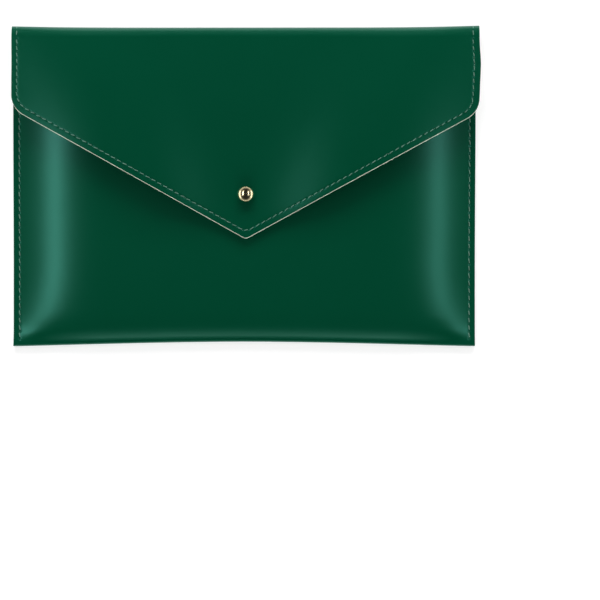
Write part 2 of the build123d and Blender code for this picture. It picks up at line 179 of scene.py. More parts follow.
# ================================================================ mesh helpers
def make(name, verts, faces, mats, index=None, uv=None, smooth_shade=True):
    """A mesh object from points in millimetres."""
    me = bpy.data.meshes.new(name)
    me.from_pydata((np.asarray(verts, float) * MM).tolist(), [], faces)
    for m in mats:
        me.materials.append(m)
    if index is not None:
        me.polygons.foreach_set("material_index", np.asarray(index, np.int32))
    if smooth_shade:
        me.polygons.foreach_set("use_smooth", np.ones(len(me.polygons), bool))
    if uv is not None:
        layer = me.uv_layers.new(name="sheet")
        li = np.empty(len(me.loops), np.int32)
        me.loops.foreach_get("vertex_index", li)
        layer.data.foreach_set("uv", (np.asarray(uv, float)[li] * 0.01).astype(np.float32).ravel())
    me.update()
    if smooth_shade:
        me.set_sharp_from_angle(angle=math.radians(55))
    ob = bpy.data.objects.new(name, me)
    scene.collection.objects.link(ob)
    return ob


class Grid:
    """Columns by rows, where coarse columns keep only some of the rows."""

    def __init__(self, fine_cols, keep_rows, base=0):
        self.fine, self.keep = fine_cols, keep_rows
        nc, nr = len(fine_cols), len(keep_rows)
        self.idx = -np.ones((nc, nr), int)
        n = base
        for c in range(nc):
            rows = range(nr) if fine_cols[c] else [r for r in range(nr) if keep_rows[r]]
            for r in rows:
                self.idx[c, r] = n
                n += 1
        self.n = n - base
        self.mask = self.idx >= 0

    def faces(self, flip=False):
        out = []
        nc, nr = self.idx.shape
        kept = [r for r in range(nr) if self.keep[r]]
        for c in range(nc - 1):
            a, b = self.idx[c], self.idx[c + 1]
            fa, fb = self.fine[c], self.fine[c + 1]
            if fa and fb:
                for r in range(nr - 1):
                    out.append([a[r], b[r], b[r + 1], a[r + 1]])
            elif not fa and not fb:
                for r, s in zip(kept[:-1], kept[1:]):
                    out.append([a[r], b[r], b[s], a[s]])
            else:
                for r, s in zip(kept[:-1], kept[1:]):
                    left = [a[i] for i in range(s, r - 1, -1)] if fa else [a[s], a[r]]
                    right = [b[i] for i in range(r, s + 1)] if fb else [b[r], b[s]]
                    out.append(left + right)
        if flip:
            out = [f[::-1] for f in out]
        return [[int(i) for i in f] for f in out]

    def rim(self):
        """Vertex indices of the four sides, in order around the grid, as lists."""
        first = [int(i) for i in self.idx[0] if i >= 0]
        last = [int(i) for i in self.idx[-1] if i >= 0]
        low = [int(self.idx[c, 0]) for c in range(self.idx.shape[0])]
        high = [int(self.idx[c, -1]) for c in range(self.idx.shape[0])]
        return first, last, low, high


def bridge(a, b, flip=False):
    """A wall of quads between two vertex lists of the same length."""
    out = []
    for i in range(len(a) - 1):
        q = [a[i], a[i + 1], b[i + 1], b[i]]
        out.append(q[::-1] if flip else q)
    return out


# ================================================================ materials
def material(name):
    m = bpy.data.materials.new(name)
    m.use_nodes = True
    nt = m.node_tree
    nt.nodes.clear()
    out = nt.nodes.new("ShaderNodeOutputMaterial")
    b = nt.nodes.new("ShaderNodeBsdfPrincipled")
    nt.links.new(b.outputs[0], out.inputs[0])
    return m, nt, b


def node(nt, kind, **values):
    n = nt.nodes.new(kind)
    for k, v in values.items():
        setattr(n, k, v)
    return n


def ramp_node(nt, stops, source):
    r = nt.nodes.new("ShaderNodeValToRGB")
    els = r.color_ramp.elements
    els[0].position, els[0].color = stops[0]
    els[1].position, els[1].color = stops[-1]
    for p, c in stops[1:-1]:
        e = els.new(p)
        e.color = c
    nt.links.new(source, r.inputs[0])
    return r


def leather(name, colour_a, colour_b, rough_a, rough_b, grain, grain_height, tint, specular=0.5):
    m, nt, b = material(name)
    L = nt.links.new
    uv = node(nt, "ShaderNodeUVMap", uv_map="sheet")
    scale = nt.nodes.new("ShaderNodeMapping")
    scale.inputs["Scale"].default_value = (100, 100, 100)      # texture space in millimetres
    L(uv.outputs[0], scale.inputs[0])
    vec = scale.outputs[0]
    # slow mottling of the colour
    big = nt.nodes.new("ShaderNodeTexNoise")
    big.inputs["Scale"].default_value = 0.045
    big.inputs["Detail"].default_value = 4
    big.inputs["Roughness"].default_value = 0.55
    L(vec, big.inputs["Vector"])
    fine = nt.nodes.new("ShaderNodeTexNoise")
    fine.inputs["Scale"].default_value = 1.3
    fine.inputs["Detail"].default_value = 5
    fine.inputs["Roughness"].default_value = 0.6
    L(vec, fine.inputs["Vector"])
    mixf = nt.nodes.new("ShaderNodeMix")
    mixf.data_type = "FLOAT"
    mixf.inputs[0].default_value = 0.4
    L(big.outputs[0], mixf.inputs[2])
    L(fine.outputs[0], mixf.inputs[3])
    col = ramp_node(nt, [(0.38, (*colour_a, 1)), (0.62, (*colour_b, 1))], mixf.outputs[0])
    L(col.outputs[0], b.inputs["Base Color"])
    # roughness breaks up a little, as handling does
    rough = nt.nodes.new("ShaderNodeMapRange")
    rough.inputs["From Min"].default_value = 0.35
    rough.inputs["From Max"].default_value = 0.65
    rough.inputs["To Min"].default_value = rough_a
    rough.inputs["To Max"].default_value = rough_b
    L(mixf.outputs[0], rough.inputs["Value"])
    L(rough.outputs[0], b.inputs["Roughness"])
    # pebble of the coating
    cell = nt.nodes.new("ShaderNodeTexVoronoi")
    cell.feature = "SMOOTH_F1"
    cell.inputs["Scale"].default_value = grain
    cell.inputs["Smoothness"].default_value = 0.55
    warp = nt.nodes.new("ShaderNodeTexNoise")
    warp.inputs["Scale"].default_value = grain * 0.8
    warp.inputs["Detail"].default_value = 2
    L(vec, warp.inputs["Vector"])
    wadd = nt.nodes.new("ShaderNodeMix")
    wadd.data_type = "VECTOR"
    wadd.inputs[0].default_value = 0.35
    L(vec, wadd.inputs[4])
    L(warp.outputs["Color"], wadd.inputs[5])
    vscale = nt.nodes.new("ShaderNodeVectorMath")
    vscale.operation = "MULTIPLY_ADD"
    vscale.inputs[1].default_value = (0.5, 0.5, 0.5)
    L(warp.outputs["Color"], vscale.inputs[0])
    L(vec, vscale.inputs[2])
    L(vscale.outputs[0], cell.inputs["Vector"])
    bump = nt.nodes.new("ShaderNodeBump")
    bump.inputs["Strength"].default_value = 1.0
    bump.inputs["Distance"].default_value = grain_height * MM
    L(cell.outputs["Distance"], bump.inputs["Height"])
    L(bump.outputs[0], b.inputs["Normal"])
    b.inputs["Specular IOR Level"].default_value = specular
    b.inputs["Specular Tint"].default_value = (*tint, 1)
    return m


green = leather("green_coated_leather", (0.0000, 0.0480, 0.0210), (0.0001, 0.0492, 0.0218),
                0.262, 0.268, 2.2, 0.010, (0.25, 1.0, 0.83), 0.8)
green_back = leather("green_soft_lining", (0.0008, 0.052, 0.024), (0.0012, 0.062, 0.030),
                     0.55, 0.66, 3.4, 0.03, (0.7, 1.0, 0.9), 0.4)


def core_material():
    m, nt, b = material("pale_interlining")
    L = nt.links.new
    tc = nt.nodes.new("ShaderNodeTexCoord")
    n = nt.nodes.new("ShaderNodeTexNoise")
    n.inputs["Scale"].default_value = 900
    n.inputs["Detail"].default_value = 4
    L(tc.outputs["Object"], n.inputs["Vector"])
    c = ramp_node(nt, [(0.3, (0.70, 0.73, 0.60, 1)), (0.7, (0.86, 0.90, 0.74, 1))], n.outputs[0])
    L(c.outputs[0], b.inputs["Base Color"])
    fib = nt.nodes.new("ShaderNodeTexNoise")
    fib.inputs["Scale"].default_value = 2500
    fib.inputs["Detail"].default_value = 3
    L(tc.outputs["Object"], fib.inputs["Vector"])
    bump = nt.nodes.new("ShaderNodeBump")
    bump.inputs["Strength"].default_value = 0.6
    bump.inputs["Distance"].default_value = 0.00008
    L(fib.outputs[0], bump.inputs["Height"])
    L(bump.outputs[0], b.inputs["Normal"])
    b.inputs["Roughness"].default_value = 0.85
    b.inputs["Specular IOR Level"].default_value = 0.2
    return m


cream = core_material()


def thread_material():
    """Two-ply twisted polyester: the UV map runs along (u) and around (v) each stitch."""
    m, nt, b = material("twisted_thread")
    L = nt.links.new
    uv = node(nt, "ShaderNodeUVMap", uv_map="sheet")
    mp = nt.nodes.new("ShaderNodeMapping")
    mp.inputs["Scale"].default_value = (100, 100, 100)
    L(uv.outputs[0], mp.inputs[0])
    wave = nt.nodes.new("ShaderNodeTexWave")
    wave.wave_type = "BANDS"
    wave.bands_direction = "DIAGONAL"
    wave.inputs["Scale"].default_value = 0.9
    wave.inputs["Distortion"].default_value = 0.6
    wave.inputs["Detail"].default_value = 1
    L(mp.outputs[0], wave.inputs["Vector"])
    # the colour follows the bump of the twist: the grooves between the plies are darker, which is painted shade; the
    # crests are lighter
    c = ramp_node(nt, [(0.0, (0.05, 0.14, 0.10, 1)), (1.0, (0.12, 0.27, 0.20, 1))], wave.outputs[1])
    L(c.outputs[0], b.inputs["Base Color"])
    bump = nt.nodes.new("ShaderNodeBump")
    bump.inputs["Strength"].default_value = 0.8
    bump.inputs["Distance"].default_value = 0.00008
    L(wave.outputs[1], bump.inputs["Height"])
    L(bump.outputs[0], b.inputs["Normal"])
    b.inputs["Roughness"].default_value = 0.5
    b.inputs["Sheen Weight"].default_value = 0.3
    return m


thread = thread_material()


def gold_material():
    m, nt, b = material("polished_gold")
    L = nt.links.new
    tc = nt.nodes.new("ShaderNodeTexCoord")
    n = nt.nodes.new("ShaderNodeTexNoise")
    n.inputs["Scale"].default_value = 700
    n.inputs["Detail"].default_value = 3
    L(tc.outputs["Object"], n.inputs["Vector"])
    c = ramp_node(nt, [(0.3, (0.97, 0.80, 0.46, 1)), (0.7, (1.0, 0.87, 0.56, 1))], n.outputs[0])
    L(c.outputs[0], b.inputs["Base Color"])
    r = nt.nodes.new("ShaderNodeMapRange")
    r.inputs["To Min"].default_value = 0.17
    r.inputs["To Max"].default_value = 0.22
    L(n.outputs[0], r.inputs["Value"])
    L(r.outputs[0], b.inputs["Roughness"])
    b.inputs["Metallic"].default_value = 1.0
    return m


gold = gold_material()

# ================================================================ case: front, bottom fold and back
MARGIN = [0, 0.015, 0.045, 0.09, 0.15, 0.22, 0.32, 0.5, 0.8, 1.2, 1.6, 2.0, 2.3, 2.52, 2.7, 2.84, 2.97,
          3.1, 3.23, 3.37, 3.55, 3.8, 4.1, 4.45]
INNER = [5.2, 6.2, 7.4, 8.8, 10.2, 11.8, 13.4, 15.2, 17, 19, 21, 23, 25.2, 27.4, 29.8, 32.2, 34.8, 37.4, 40, 43,
         46, 50, 54, 58, 63, 68, 74, 80, 87, 94, 102, 111]
EDGE_ROWS = [0, 0.015, 0.045, 0.09, 0.15, 0.22, 0.32, 0.5, 0.8, 1.2, 1.7, 2.1, 2.4, 2.6, 2.8, 3.0, 3.2, 3.4, 3.6,
             3.9, 4.4, 5.0, 5.8]
SIDE_HOLES = np.arange(-79.2, 71.0, SIDE_PITCH)


def case_layer(name, h0, h1, edge_in, mouth_in, mat, detail, r_out=0.25):
    """One layer of the case as a closed shell. h0 and h1 are its depths below the outermost surface,
    edge_in and mouth_in how far it stops short of the sides and of the mouth."""
    cols_d = MARGIN if detail else [0, 0.03, 0.1, 0.22, 0.5, 1.2, 2.7, 4.4]
    d_left = np.array(cols_d + INNER) + edge_in * np.maximum(0, 1 - np.array(cols_d + INNER) / 2)
    x_left = BODY_L + d_left
    x_right = (BODY_R - d_left)[::-1]
    xs = np.concatenate([x_left, [MID], x_right])
    dist = np.minimum(xs - BODY_L, BODY_R - xs)
    own = dist - edge_in                                   # distance to this layer's own side edge
    fine = list((dist - edge_in <= 4.5) & detail) if detail else [False] * len(xs)
    step = 4 if detail else 1
    n_front = 82 * step if detail else 82
    n_ring = 26
    n_back = 88 * step if detail else 88
    rows = []
    for d in EDGE_ROWS:
        rows.append(("edge", d, True))
    for i in range(1, n_front + 1):
        rows.append(("front", i / n_front, i % step == 0))
    for i in range(1, n_ring + 1):
        rows.append(("ring", math.pi * i / n_ring, True))
    for i in range(1, n_back + 1):
        rows.append(("back", i / n_back, i % step == 0))
    keep = [r[2] for r in rows]

    def place(h, outer):
        nr, nc = len(rows), len(xs)
        X, Y, Z, S = (np.zeros((nc, nr)) for _ in range(4))
        ym, yt = mouth_y(xs) - mouth_in, tangent_y(xs)
        front_len = ym - yt
        r_o = SHEET + FOLD_GAP / 2
        for j, (kind, p, _) in enumerate(rows):
            if kind in ("edge", "front"):
                y = ym - p if kind == "edge" else (ym - EDGE_ROWS[-1]) * (1 - p) + yt * p
                dm = ym - y
                e = np.full(nc, h, float)
                if outer:
                    e += np.maximum(rounding(own, r_out), rounding(dm, r_out))
                    if detail:
                        e += 0.09 * np.exp(-((dm - MOUTH_SEAM_IN + mouth_in) / 0.55) ** 2) * (own > 2)
                        e += seam_dent(dist, y, xs)
                else:
                    e -= np.maximum(rounding(own, 0.12), rounding(dm, 0.12))
                Y[:, j] = y
                Z[:, j] = front_z(xs, y) + SHEET - e
                S[:, j] = -y
            elif kind == "ring":
                e = np.full(nc, h, float)
                e += rounding(own, r_out) if outer else -rounding(own, 0.12)
                r = r_o - e
                Y[:, j] = yt - r * np.sin(p)
                Z[:, j] = r_o + r * np.cos(p)
                S[:, j] = -yt + r_o * p
            else:
                y = yt * (1 - p) + SPLIT * p
                e = np.full(nc, h, float)
                if outer:
                    e += rounding(own, r_out)
                    if detail:
                        e += seam_dent(dist, y, xs)
                else:
                    e -= rounding(own, 0.12)
                Y[:, j] = y
                Z[:, j] = e
                S[:, j] = -yt + r_o * math.pi + (y - yt)
            X[:, j] = widen(xs, Y[:, j])
        return X, Y, Z, S

    top = Grid(fine, keep)
    low = Grid(fine, keep, base=top.n)
    Xo, Yo, Zo, So = place(h0, True)
    Xi, Yi, Zi, Si = place(h1, False)
    verts = np.vstack([
        np.column_stack([Xo[top.mask], Yo[top.mask], Zo[top.mask]]),
        np.column_stack([Xi[low.mask], Yi[low.mask], Zi[low.mask]])])
    uv = np.vstack([np.column_stack([Xo[top.mask], So[top.mask]]),
                    np.column_stack([Xi[low.mask], Si[low.mask]])])
    f_out = top.faces(flip=True)
    f_in = low.faces()
    walls = []
    a1, a2, a3, a4 = top.rim()
    b1, b2, b3, b4 = low.rim()
    walls += bridge(a1, b1, flip=False)
    walls += bridge(a2, b2, flip=True)
    walls += bridge(a3, b3, flip=True)
    walls += bridge(a4, b4, flip=False)
    faces = f_out + f_in + walls
    return make(name, verts, faces, [mat], uv=uv)


def seam_dent(dist, y, xs):
    """Depth pressed into the face along the side seams: a shallow line and a dimple at each needle hole."""
    seam = np.where(xs < MID, SEAM_IN[0], SEAM_IN[1])
    line = 0.03 * np.exp(-((dist - seam) / 0.45) ** 2) * (y < 71.5) * (y > -80.5)
    k = np.clip(np.round((y - SIDE_HOLES[0]) / SIDE_PITCH), 0, len(SIDE_HOLES) - 1)
    dy = y - (SIDE_HOLES[0] + k * SIDE_PITCH)
    r2 = (dist - seam) ** 2 + dy ** 2
    return line + 0.46 * np.exp(-r2 / 0.40 ** 2)


case_skin = case_layer("leather_case", 0.0, SKIN, 0.0, 0.10, green, True)
case_core = case_layer("interlining_case", SKIN - 0.01, SKIN + CORE + 0.01, 0.10, 0.0, cream, False, 0.05)
case_lining = case_layer("lining_case", SKIN + CORE, SHEET, 0.04, 0.08, green_back, False, 0.05)

# ================================================================ top fold
BEND_Y = SPLIT + 0.10     # the bend starts here on the back and ends here on the flap
HINGE_Y, HINGE_Z = 77.45, 5.1
N_ARC = 64


def fold_curve(x):
    """The outermost line of the fold at x, from the back to the flap, with the direction inwards and the share
    of the turn at each point. It is tighter at the back, and ends in the slope of the flap."""
    slope = (float(flap_z(x, SPLIT - 0.4)) - float(flap_z(x, SPLIT))) / 0.4
    z_end = float(flap_z(x, SPLIT)) + SHEET - 0.10 * slope
    k = 1.32 + 0.6 * float(smooth((abs(x) - 95.0) / 26.0))
    eps = math.atan(k * slope)
    reach = float(top_y(x)) - BEND_Y
    ay = reach / (1 - math.sin(eps))
    az = ay / k
    zc = z_end - az * math.cos(eps)
    yc = float(top_y(x)) - ay
    pts = []
    for i in range(N_ARC + 1):
        t = (math.pi - eps) * i / N_ARC
        if t < math.pi / 2:
            pts.append((BEND_Y + reach * math.sin(t), zc - zc * math.cos(t)))
        else:
            pts.append((yc + ay * math.sin(t), zc - az * math.cos(t)))
    pts = [(SPLIT, 0.0)] + pts + [(SPLIT, z_end + 0.10 * slope)]
    p = np.array(pts)
    d = np.gradient(p, axis=0)
    d /= np.linalg.norm(d, axis=1)[:, None]
    inward = np.column_stack([-d[:, 1], d[:, 0]])
    i = np.arange(len(p)) / (len(p) - 1)
    up = smooth((i - 0.75) / 0.25)[:, None]
    dn = smooth((0.06 - i) / 0.06)[:, None]
    inward = inward * (1 - up - dn) + np.array([[0.0, -1.0]]) * up + np.array([[0.0, 1.0]]) * dn
    turn = np.arctan2(p[:, 0] - HINGE_Y, -(p[:, 1] - HINGE_Z))
    turn = np.where((turn < -1.0) | (i > 0.97), math.pi, turn)
    w = np.clip(turn / math.pi, 0, 1)
    w = np.maximum.accumulate(w)
    w[:2], w[-2:] = 0.0, 1.0
    run = np.concatenate([[0], np.cumsum(np.linalg.norm(np.diff(p, axis=0), axis=1))])
    return p, inward, w, run


FOLD_D = [0, 0.015, 0.045, 0.09, 0.15, 0.22, 0.32, 0.5, 0.8, 1.2, 1.6, 2.0, 2.3, 2.6, 2.95, 3.3, 3.7, 4.4, 5.4, 7, 9,
          12, 15, 19, 23, 28, 33, 39, 45, 52, 60, 70, 82, 95, 108]


def fold_layer(name, h0, h1, edge_in, mat, r_out=0.25):
    d = np.array(FOLD_D)
    d = d + edge_in * np.maximum(0, 1 - d / 2)
    xs = np.concatenate([-FOLD_HALF[0] + d, [0.0], (FOLD_HALF[1] - d)[::-1]])
    own = np.minimum(xs + FOLD_HALF[0], FOLD_HALF[1] - xs) - edge_in
    curves = [fold_curve(x) for x in xs]
    nr = len(curves[0][0])

    def place(h, outer):
        e = np.full(len(xs), h, float) + (rounding(own, r_out) if outer else -rounding(own, 0.12))
        V, U, W = [], [], []
        for x, (p, inward, w, run), ei in zip(xs, curves, e):
            q = p + inward * ei
            V.append(np.column_stack([np.full(nr, x), q]))
            U.append(np.column_stack([np.full(nr, x), FOLD_RUN0 + run]))
            W.append(w)
        return np.vstack(V), np.vstack(U), np.concatenate(W)

    top = Grid([True] * len(xs), [True] * nr)
    low = Grid([True] * len(xs), [True] * nr, base=top.n)
    Vo, Uo, Wo = place(h0, True)
    Vi, Ui, Wi = place(h1, False)
    a1, a2, a3, a4 = top.rim()
    b1, b2, b3, b4 = low.rim()
    faces = top.faces(flip=False) + low.faces(flip=True)
    faces += bridge(a1, b1, True) + bridge(a2, b2, False) + bridge(a3, b3, False) + bridge(a4, b4, True)
    ob = make(name, np.vstack([Vo, Vi]), faces, [mat], uv=np.vstack([Uo, Ui]))
    return ob, np.concatenate([Wo, Wi])


# the unrolled sheet: distance along it from the middle of the bottom fold, where the flap takes over
FOLD_RUN0 = 81.5 + 5.3 + SPLIT
FLAP_RUN0 = FOLD_RUN0 + float(fold_curve(0.0)[3][-1])
fold_skin, w_skin = fold_layer("leather_fold", 0.0, SKIN, 0.0, green)
fold_core, w_core = fold_layer("interlining_fold", SKIN - 0.01, SKIN + CORE + 0.01, 0.10, cream, 0.05)
fold_lining, w_lining = fold_layer("lining_fold", SKIN + CORE, SHEET, 0.04, green_back, 0.05)

# ================================================================ flap
TURN = tuple(math.pi / 2 - v for v in BETA)
VERTEX_Y = tuple(TIP_Y + math.tan(b) * (h - w) for b, h, w in zip(BETA, FLAP_HALF, DRAW))
LEAN = tuple(math.atan2(w, DRAW_Y - v) for w, v in zip(DRAW, VERTEX_Y))
REACH = tuple(r * math.tan((t - l) / 2) for r, t, l in zip(CORNER_R, TURN, LEAN))
ARC_X = tuple(h - w + q * math.sin(l) - r * math.cos(l) for h, w, q, l, r in zip(FLAP_HALF, DRAW, REACH, LEAN, CORNER_R))
ARC_Y = tuple(v + q * math.cos(l) + r * math.sin(l) for v, q, l, r in zip(VERTEX_Y, REACH, LEAN, CORNER_R))


def flap_edge(d, side):
    """The free edge of one half, moved inwards by d and drawn as on the left: side, corner, slanted edge and half
    of the tip. Returns points from the fold to the tip and the share of each point that lies on the slanted edge."""
    beta, other, turn, arc_y = BETA[side], BETA[1 - side], TURN[side], ARC_Y[side]
    half, fold, radius = FLAP_HALF[side], FOLD_HALF[side], CORNER_R[side]
    lean, end_y = LEAN[side], arc_y - (CORNER_R[side] - d) * math.sin(LEAN[side])
    pts, slant = [], []
    n_side, n_arc, n_slant, n_tip = 68, 28, 292, 8
    for i in range(n_side):
        y = SPLIT + (end_y - SPLIT) * i / n_side
        x = -(half - (half - fold) * float(smooth((y - 62.0) / (SPLIT - 62.0)))) + d
        x += max(0.0, DRAW_Y - y) * math.tan(lean)
        pts.append((x, y))
        slant.append(0.0)
    cx = -ARC_X[side]
    for i in range(n_arc):
        a = math.pi + lean + (turn - lean) * i / n_arc
        pts.append((cx + (radius - d) * math.cos(a), arc_y + (radius - d) * math.sin(a)))
        slant.append(float(smooth(i / n_arc * 1.15)))
    a = math.pi + turn
    p0 = np.array([cx + (radius - d) * math.cos(a), arc_y + (radius - d) * math.sin(a)])
    rho = max(TIP_R - d, 0.3)
    span = math.sin(beta + other)
    tx = (d + rho) * (math.cos(other) - math.cos(beta)) / span
    ty = TIP_Y + (d + rho) * (math.sin(beta) + math.sin(other)) / span
    p1 = np.array([tx - rho * math.sin(beta), ty - rho * math.cos(beta)])
    for i in range(n_slant):
        pts.append(tuple(p0 + (p1 - p0) * i / n_slant))
        slant.append(1.0)
    for i in range(n_tip + 1):
        a = -math.pi / 2 - beta + beta * i / n_tip
        pts.append((tx + rho * math.cos(a), ty + rho * math.sin(a)))
        slant.append(1.0)
    return np.array(pts), np.array(slant)


def full_edge(d):
    p, s = flap_edge(d, 0)
    q, t = flap_edge(d, 1)
    mirrored = q[:-1][::-1] * np.array([-1, 1])
    return np.vstack([p, mirrored]), np.concatenate([s, t[:-1][::-1]])


def offset_edge(want):
    """The free edge moved inwards by its own distance at each point."""
    lo, hi = float(want.min()), float(want.max()) + 1e-9
    a, b = full_edge(lo)[0], full_edge(hi)[0]
    t = ((want - lo) / max(hi - lo, 1e-9))[:, None]
    return a * (1 - t) + b * t


FLAP_D = [0, 0.015, 0.045, 0.09, 0.15, 0.22, 0.32, 0.5, 0.8, 1.15, 1.5, 1.8, 2.1, 2.35, 2.55, 2.75, 2.95, 3.15, 3.35,
          3.55, 3.8, 4.1, 4.5]
FLAP_D_COARSE = [5.2, 6.4]
_p, SLANT = full_edge(0.0)
_n = len(flap_edge(0.0, 0)[0])
SEAM_ROW = np.where(np.arange(len(SLANT)) < _n, FLAP_SEAM_SIDE[0], FLAP_SEAM_SIDE[1])
SEAM_ROW = SEAM_ROW + (FLAP_SEAM_SLANT - SEAM_ROW) * SLANT      # how far in the seam runs at each point of the edge
SEAM_CURVE = offset_edge(SEAM_ROW)
seg = np.linalg.norm(np.diff(SEAM_CURVE, axis=0), axis=1)
SEAM_LEN = np.concatenate([[0], np.cumsum(seg)])
n_holes = int(round(SEAM_LEN[-1] / FLAP_PITCH))
FLAP_HOLES = np.linspace(0.6, SEAM_LEN[-1] - 0.6, n_holes)

HOLE_R, HOLE_POINT = 3.30, 4.10


def hole_edge(d, n=64):
    """Buttonhole moved outwards by d: a circle drawn out to a rounded point towards the fold."""
    a0 = math.asin(HOLE_R / HOLE_POINT)            # half angle at the point
    rt = 0.35
    pts = []
    ty = HOLE_POINT - rt / math.sin(a0) + 0.0
    lo, hi = -math.pi - a0, a0                      # round the bottom, from left tangent to right tangent
    k = int(n * 0.8)
    for i in range(k):
        a = lo + (hi - lo) * i / (k - 1)
        pts.append(((HOLE_R + d) * math.cos(a), STUD_Y + (HOLE_R + d) * math.sin(a)))
    m = n - k
    for i in range(m):
        a = a0 + (math.pi - 2 * a0) * i / (m - 1)
        pts.append(((rt + d) * math.cos(a), STUD_Y + ty + (rt + d) * math.sin(a)))
    return np.array(pts)


def flap_layer(name, h0, h1, slant_in, side_in, hole_in, mat, detail, r_out=0.25, dent_in=False):
    ds = FLAP_D if detail else [0, 0.03, 0.1, 0.22, 0.5, 1.2, 2.1, 2.6, 2.95, 3.3, 3.8, 4.5]
    ds = ds + FLAP_D_COARSE
    n_fine = len(ds) - len(FLAP_D_COARSE)
    _, slant = full_edge(0.0)
    nr = len(slant)
    inset = side_in + (slant_in - side_in) * slant
    cols, own = [], []
    lines = {}
    for dd in ds:
        # each layer's own edge is inset; further in the lines are shared
        want = dd + inset * max(0.0, 1 - dd / 1.5) + (SEAM_ROW - FLAP_SEAM_IN) * float(smooth((dd - 0.4) / 1.6))
        cols.append(offset_edge(want))
        own.append(np.full(nr, dd))
    cols = np.array(cols)                 # (nd, nr, 2)
    step = 4
    keep = [r % step == 0 or r == nr - 1 for r in range(nr)]
    fine = [i < n_fine and detail for i in range(len(ds))]
    if not detail:
        sel = [r for r in range(nr) if keep[r]]
        cols = cols[:, sel]
        keep = [True] * len(sel)
        fine = [True] * len(ds)
        lens = SEAM_LEN[sel]
        nr = len(sel)
    else:
        lens = SEAM_LEN
    g = Grid(fine, keep)
    dist = np.array(ds)[:, None] * np.ones((1, nr))
    L = np.ones((len(ds), 1)) * lens[None, :]
    P = cols[g.mask]
    D = dist[g.mask]
    LL = L[g.mask]
    faces = g.faces()
    # ring of the buttonhole
    ring_d = [0, 0.02, 0.06, 0.12, 0.2, 0.3, 0.5, 0.8, 1.2, 1.7] if detail else [0, 0.05, 0.15, 0.5, 1.2, 1.7]
    nh = 64
    base = len(P)
    ring = np.array([hole_edge(hole_in * max(0, 1 - r) + r, nh) for r in ring_d])
    P = np.vstack([P, ring.reshape(-1, 2)])
    D = np.concatenate([D, np.full(len(ring_d) * nh, 50.0)])
    LL = np.concatenate([LL, np.full(len(ring_d) * nh, -50.0)])
    H = np.concatenate([np.full(base, 50.0), np.repeat(ring_d, nh)])
    for i in range(len(ring_d) - 1):
        for k in range(nh):
            a, b = base + i * nh + k, base + i * nh + (k + 1) % nh
            faces.append([a, b, b + nh, a + nh])
    # interior
    inner_loop = [int(i) for i in g.idx[-1] if i >= 0]
    left_top, right_top = P[inner_loop[0]], P[inner_loop[-1]]
    nt_ = 90
    top_line = [(right_top[0] + (left_top[0] - right_top[0]) * i / nt_, SPLIT) for i in range(1, nt_)]
    base2 = len(P)
    P = np.vstack([P, np.array(top_line)])
    loop = inner_loop + list(range(base2, base2 + len(top_line)))
    hole_loop = [base + (len(ring_d) - 1) * nh + k for k in range(nh)]
    poly = P[loop]
    pitch = 2.2
    gx = np.arange(-FLAP_HALF[0], FLAP_HALF[1], pitch)
    gy = np.arange(TIP_Y, SPLIT, pitch * 0.866)
    grid = []
    margin = FLAP_D_COARSE[-1] + 2.1
    for j, y in enumerate(gy):
        for x in gx + (pitch / 2 if j % 2 else 0):
            side = 0 if x < 0 else 1
            if abs(x) > FLAP_HALF[side] - margin or y > SPLIT - 1.3:
                continue
            # signed distance to the slanted edges
            s = (y - (TIP_Y + math.tan(BETA[side]) * abs(x))) * math.cos(BETA[side])
            if s < margin:
                continue
            # near the corner
            cx = ARC_X[side]
            if abs(x) > cx and y < ARC_Y[side] and math.hypot(abs(x) - cx, y - ARC_Y[side]) > CORNER_R[side] - margin:
                continue
            if (x * x + (y - STUD_Y) ** 2) < (HOLE_R + 1.7 + 1.4) ** 2 or (abs(x) < 3.2 and 0 < y - STUD_Y < HOLE_POINT + 3.4):
                continue
            grid.append((x, y))
    base3 = len(P)
    P = np.vstack([P, np.array(grid)])
    extra = len(P) - base2
    D = np.concatenate([D, np.full(extra, 50.0)])
    LL = np.concatenate([LL, np.full(extra, -50.0)])
    H = np.concatenate([H, np.full(extra, 50.0)])
    ids = loop + hole_loop + list(range(base3, len(P)))
    local = {v: i for i, v in enumerate(ids)}
    pts = [Vector((float(P[v][0]), float(P[v][1]))) for v in ids]
    nl, nhl = len(loop), len(hole_loop)
    edges = [(i, (i + 1) % nl) for i in range(nl)] + [(nl + i, nl + (i + 1) % nhl) for i in range(nhl)]
    vo, eo, fo, ov, oe, of_ = delaunay_2d_cdt(pts, edges, [], 0, 1e-5)
    remap = [o[0] if o else None for o in ov]
    poly2 = poly
    hp = P[hole_loop]

    def inside(pt, pg):
        x, y = pt
        c = False
        n = len(pg)
        px, py = pg[:, 0], pg[:, 1]
        qx, qy = np.roll(px, -1), np.roll(py, -1)
        cross = ((py > y) != (qy > y)) & (x < (qx - px) * (y - py) / (qy - py + 1e-12) + px)
        return bool(cross.sum() % 2)

    for f in fo:
        t = [remap[i] for i in f]
        if any(i is None for i in t):
            continue
        v = [ids[i] for i in t]
        cpt = P[v].mean(axis=0)
        if not inside(cpt, poly2) or inside(cpt, hp):
            continue
        a, b, c = P[v[0]], P[v[1]], P[v[2]]
        # slivers between points on one straight edge
        longest = max(np.hypot(*(a - b)), np.hypot(*(b - c)), np.hypot(*(c - a)))
        if abs((b[0] - a[0]) * (c[1] - a[1]) - (b[1] - a[1]) * (c[0] - a[0])) / longest < 0.02:
            continue
        # counter-clockwise seen from above
        if (b[0] - a[0]) * (c[1] - a[1]) - (b[1] - a[1]) * (c[0] - a[0]) < 0:
            v = v[::-1]
        faces.append(v)
    # orient the strips upwards too
    fixed = []
    for f in faces:
        q = P[f]
        area = np.sum(q[:, 0] * np.roll(q[:, 1], -1) - np.roll(q[:, 0], -1) * q[:, 1])
        fixed.append(list(f) if area > 0 else list(f)[::-1])
    faces = fixed
    n = len(P)

